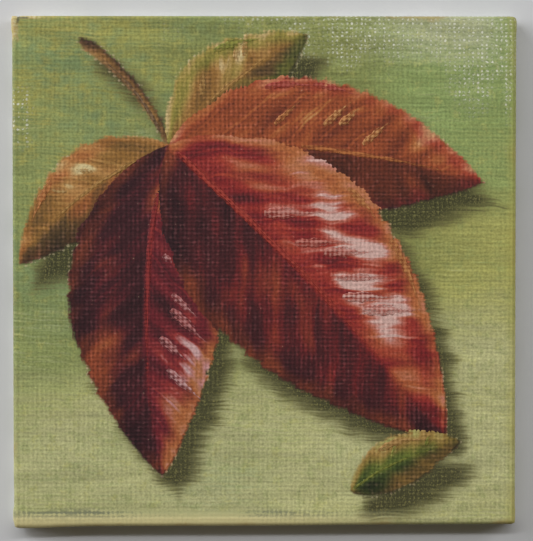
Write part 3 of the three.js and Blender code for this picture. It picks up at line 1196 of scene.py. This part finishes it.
strokePiece = pathPiece("thickPaint", paintPaths(), strokes, strokeFinish())
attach(strokePiece, "root")
print("thick paint laid:", len(strokePiece.data.polygons), "faces")


# Loose cotton at the slits of the back's corners

def cottonFinish():
    material, w, shader = newMaterial("looseCotton", 0.15)
    fluff = w.noise(w.place(), 5.0)
    colour = w.blend(tone(186, 176, 150), tone(222, 214, 192), fluff)
    feed(shader, BaseColor=colour, Roughness=0.8 + fluff * 0.15)
    return material


def frayPath(cornerX, cornerY, random):  # one curled thread near a corner's diagonal
    count = frays["points"]
    inset = random.uniform(*frays["insets"])
    heading = random.uniform(0, math.tau)
    curl = random.uniform(-1.4, 1.4)
    length = frays["length"] * random.uniform(0.4, 1.0)
    walk = np.linspace(0, 1, count)
    turn = heading + curl * walk
    stepLength = length / (count - 1)
    x = cornerX * (halfX - inset) + np.cumsum(np.cos(turn)) * stepLength
    y = cornerY * (halfY - inset) + np.cumsum(np.sin(turn)) * stepLength
    hang = frays["lift"] + frays["curlLift"] * np.sin(walk * math.pi) * random.uniform(0.2, 1)
    width = np.full(count, frays["thickness"] * random.uniform(0.7, 1.1))
    return {"points": np.stack([x, y, marginBottom - hang], -1), "width": width}


def frayPaths():
    random = np.random.default_rng(frays["seed"])
    corners = [(cornerX, cornerY) for cornerX in (-1, 1) for cornerY in (-1, 1)]
    return [frayPath(*corner, random) for corner in corners for thread in range(frays["perCorner"])]


frayPiece = pathPiece("looseThreads", frayPaths(), frays, cottonFinish())
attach(frayPiece, "root")
print("loose threads laid:", len(frayPiece.data.polygons), "faces")


# Backing paper, glued over the margins and sunk between them

paper = {
    "thickness": 0.25 * mm,
    "rim": 9.05 * mm,  # flat on the cloth before it dips to the board
    "ramp": 1.2 * mm,
    "spacing": 1.0 * mm,
    "trim": 0.14 * mm,  # unevenness of the hand-cut edge
    "trimReach": 1.5 * mm,
    "cockle": 0.035 * mm,  # low waves left by the glue
    "seed": 12,
}


def buildPaper():
    low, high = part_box("backing_paper")
    random = np.random.default_rng(paper["seed"])
    columns = round((high.x - low.x) / paper["spacing"]) + 1
    rows = round((high.y - low.y) / paper["spacing"]) + 1
    x, y = np.meshgrid(np.linspace(low.x, high.x, columns), np.linspace(low.y, high.y, rows))
    inside = np.minimum(np.minimum(x - low.x, high.x - x), np.minimum(y - low.y, high.y - y))
    dip = (high.z - low.z - paper["thickness"]) * step(inside, paper["rim"], paper["rim"] + paper["ramp"])
    cockle = paper["cockle"] * (0.5 + 0.5 * waves(x, y, (7 * mm, 11 * mm, 17 * mm, 29 * mm), random))
    lower = low.z + dip + cockle * (1 - 2 * (dip > 0.1 * mm))
    near = 1 - step(inside, 0, paper["trimReach"])
    edgeX = paper["trim"] * near * waves(y, x * 0, (13 * mm, 31 * mm, 5 * mm), random)
    edgeY = paper["trim"] * near * waves(x, y * 0, (11 * mm, 37 * mm, 6 * mm), random)
    under = np.stack([x - abs(edgeX) * np.sign(x), y - abs(edgeY) * np.sign(y), lower], -1).reshape(-1, 3)
    over = under + [0, 0, paper["thickness"]]
    index, quads = gridQuads(rows, columns)
    rim = np.concatenate([index[0, :-1], index[:-1, -1], index[-1, :0:-1], index[:0:-1, 0]])
    after = np.roll(rim, -1)
    count = columns * rows
    walls = np.stack([rim, after, after + count, rim + count], -1)
    faces = np.concatenate([quads[:, ::-1], quads + count, walls]).tolist()
    fields = {"inside": np.tile(inside.ravel(), 2) / mm}
    return newMesh("backingPaper", np.concatenate([under, over]), faces, fields)


def paperFinish():
    material, w, shader = newMaterial("backingPaper", 0.2)
    place = w.place()
    x, y = place.parts()[:2]
    inside = w.attribute("inside", "Fac")
    pulp = w.noise(place, 0.5, 4.0, 0.6)
    fibre = w.noiseAt(x * 0.7, y * 4.0, 2.0, 3.0, 0.7)
    fleck = w.noiseAt(x * 2.6, y * 2.6, 5.0, 1.0).smooth(0.7, 0.78)
    glue = w.noise(place, 0.07).smooth(0.5, 0.66)
    thumb = w.noiseAt(x * 0.1 + 7, y * 0.1, 9.0, 3.0).smooth(0.62, 0.72)
    worn = (inside + (pulp - 0.5) * 1.2).smooth(0.9, 0.1)
    colour = w.layered(tone(196, 180, 146), [
        (tone(216, 203, 174), pulp),
        (tone(168, 146, 108), fibre.smooth(0.55, 0.75) * 0.35),
        (tone(120, 98, 68), fleck * 0.6),
        (tone(176, 156, 118), glue * 0.35),
        (tone(112, 106, 70), thumb * 0.4),
        (tone(226, 217, 194), worn * 0.7),
    ])
    relief = w.relief((fibre + pulp) * 0.03, 0.4)
    feed(shader, BaseColor=colour, Roughness=0.78 + pulp * 0.15 - glue * 0.12, Normal=relief)
    return material


paperPiece = buildPaper()
paperPiece.data.materials.append(paperFinish())
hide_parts("backing_paper")
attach(paperPiece, "root")
print("backing paper glued:", len(paperPiece.data.polygons), "faces")


# The board stays as the solid, with the look of pressed grey pulp

def boardFinish():
    material, w, shader = newMaterial("greyboard", 0.15)
    place = w.place()
    x, y, z = place.parts()
    pulp = w.noise(place, 1.4, 4.0, 0.65)
    ply = w.noiseAt(x * 0.3, y * 0.3, z * 6.0)
    fleck = w.noise(place, 3.6, 1.0).smooth(0.68, 0.76)
    colour = w.layered(tone(128, 121, 108), [
        (tone(160, 152, 136), pulp),
        (tone(104, 96, 84), ply.smooth(0.5, 0.7) * 0.4),
        (tone(78, 74, 70), fleck * 0.5),
    ])
    feed(shader, BaseColor=colour, Roughness=0.86 + pulp * 0.1, Normal=w.relief(pulp * 0.05, 0.5))
    return material


board = bpy.data.objects["board"]
board.data.materials.clear()
board.data.materials.append(boardFinish())
print("board finished")

print("panel finished")
